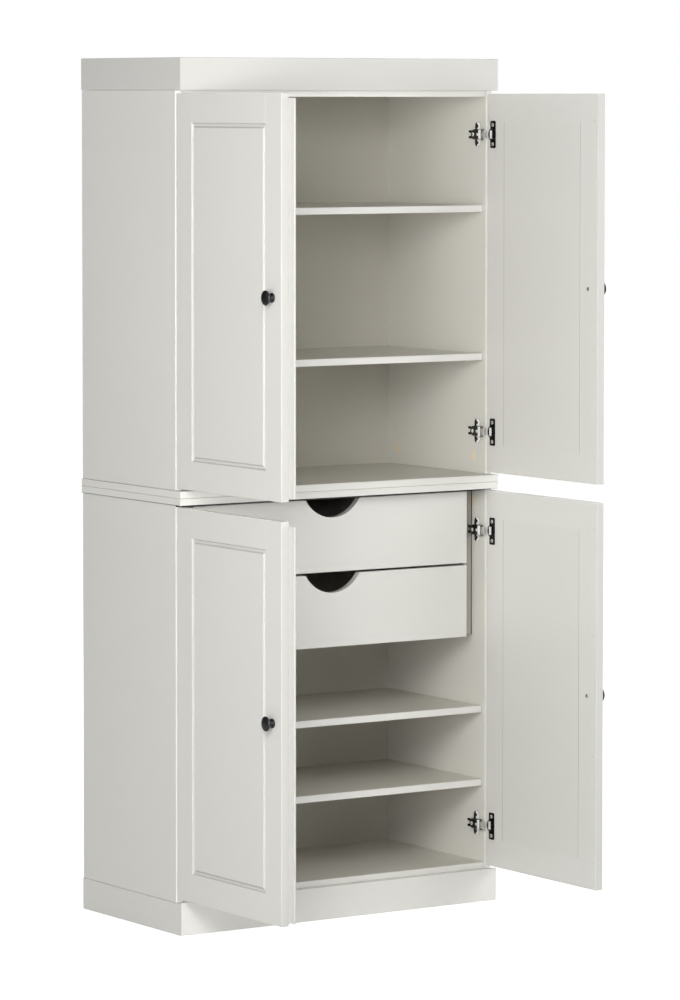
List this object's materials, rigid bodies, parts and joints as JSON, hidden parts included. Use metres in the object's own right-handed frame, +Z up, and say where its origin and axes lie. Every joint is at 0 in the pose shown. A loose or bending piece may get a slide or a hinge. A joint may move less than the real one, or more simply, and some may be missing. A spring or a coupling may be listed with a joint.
{
  "type": "pantry cabinet",
  "caption": "Tall white pantry cabinet in stacked halves, with framed doors on concealed hinges, inner shelves and drawers, a plinth and a cornice.",
  "frame": {"origin": "on the floor, at mid width, under the middle of the plinth back rail", "axes": "+Z up, the front with the doors faces -Y, +X to the right seen from the front"},
  "size_m": [0.8386, 0.7977, 1.808],
  "materials": {
    "white_board": "white laminated board, satin",
    "white_door": "white painted board, satin",
    "white_hardboard": "white coated hardboard, matt",
    "black_knob": "satin black",
    "plated_steel": "polished nickel plating"
  },
  "bodies": {
    "cabinet": {"top_panel": "white_board", "cornice_front": "white_board", "cornice_side_left": "white_board", "cornice_side_right": "white_board", "upper_side_left": "white_board", "upper_side_right": "white_board", "upper_back_panel": "white_hardboard", "upper_floor_board": "white_board", "upper_shelf_top": "white_board", "upper_shelf_bottom": "white_board", "lower_top_board": "white_board", "lower_side_left": "white_board", "lower_side_right": "white_board", "lower_back_panel": "white_hardboard", "lower_floor_board": "white_board", "plinth_front": "white_board", "plinth_side_left": "white_board", "plinth_side_right": "white_board", "plinth_back_rail": "white_board", "lower_shelf_top": "white_board", "lower_shelf_bottom": "white_board", "drawer_guide_left": "white_board", "drawer_guide_right": "white_board", "hinge_arm_upper_left_top": "plated_steel", "hinge_arm_upper_left_bottom": "plated_steel", "hinge_arm_upper_right_top": "plated_steel", "hinge_arm_upper_right_bottom": "plated_steel", "hinge_arm_lower_left_top": "plated_steel", "hinge_arm_lower_left_bottom": "plated_steel", "hinge_arm_lower_right_top": "plated_steel", "hinge_arm_lower_right_bottom": "plated_steel"},
    "door_upper_left": {"door_frame_upper_left": "white_door", "door_panel_upper_left": "white_door", "knob_upper_left": "black_knob", "hinge_cup_upper_left_top": "plated_steel", "hinge_cup_upper_left_bottom": "plated_steel", "cover_strip_upper_left": "white_door"},
    "door_upper_right": {"door_frame_upper_right": "white_door", "door_panel_upper_right": "white_door", "knob_upper_right": "black_knob", "hinge_cup_upper_right_top": "plated_steel", "hinge_cup_upper_right_bottom": "plated_steel"},
    "door_lower_left": {"door_frame_lower_left": "white_door", "door_panel_lower_left": "white_door", "knob_lower_left": "black_knob", "hinge_cup_lower_left_top": "plated_steel", "hinge_cup_lower_left_bottom": "plated_steel", "cover_strip_lower_left": "white_door"},
    "door_lower_right": {"door_frame_lower_right": "white_door", "door_panel_lower_right": "white_door", "knob_lower_right": "black_knob", "hinge_cup_lower_right_top": "plated_steel", "hinge_cup_lower_right_bottom": "plated_steel"},
    "drawer_top": {"drawer_front_top": "white_board", "drawer_wrap_top": "white_board", "drawer_base_top": "white_hardboard"},
    "drawer_bottom": {"drawer_front_bottom": "white_board", "drawer_wrap_bottom": "white_board", "drawer_base_bottom": "white_hardboard"}
  },
  "joints": [
    {"name": "hinge_upper_left", "type": "hinge", "parent": "cabinet", "child": "door_upper_left", "pos_m": [-0.391, -0.3817, 1.3292], "axis": [0, 0, -1], "range_deg": [-90, 20]},
    {"name": "hinge_upper_right", "type": "hinge", "parent": "cabinet", "child": "door_upper_right", "pos_m": [0.391, -0.3817, 1.3292], "axis": [0, 0, 1], "range_deg": [-90, 20]},
    {"name": "hinge_lower_left", "type": "hinge", "parent": "cabinet", "child": "door_lower_left", "pos_m": [-0.391, -0.3817, 0.4804], "axis": [0, 0, -1], "range_deg": [-90, 20]},
    {"name": "hinge_lower_right", "type": "hinge", "parent": "cabinet", "child": "door_lower_right", "pos_m": [0.391, -0.3817, 0.4804], "axis": [0, 0, 1], "range_deg": [-90, 20]},
    {"name": "slide_top", "type": "slide", "parent": "cabinet", "child": "drawer_top", "axis": [0, -1, 0], "range_m": [0, 0.24]},
    {"name": "slide_bottom", "type": "slide", "parent": "cabinet", "child": "drawer_bottom", "axis": [0, -1, 0], "range_m": [0, 0.24]}
  ]
}
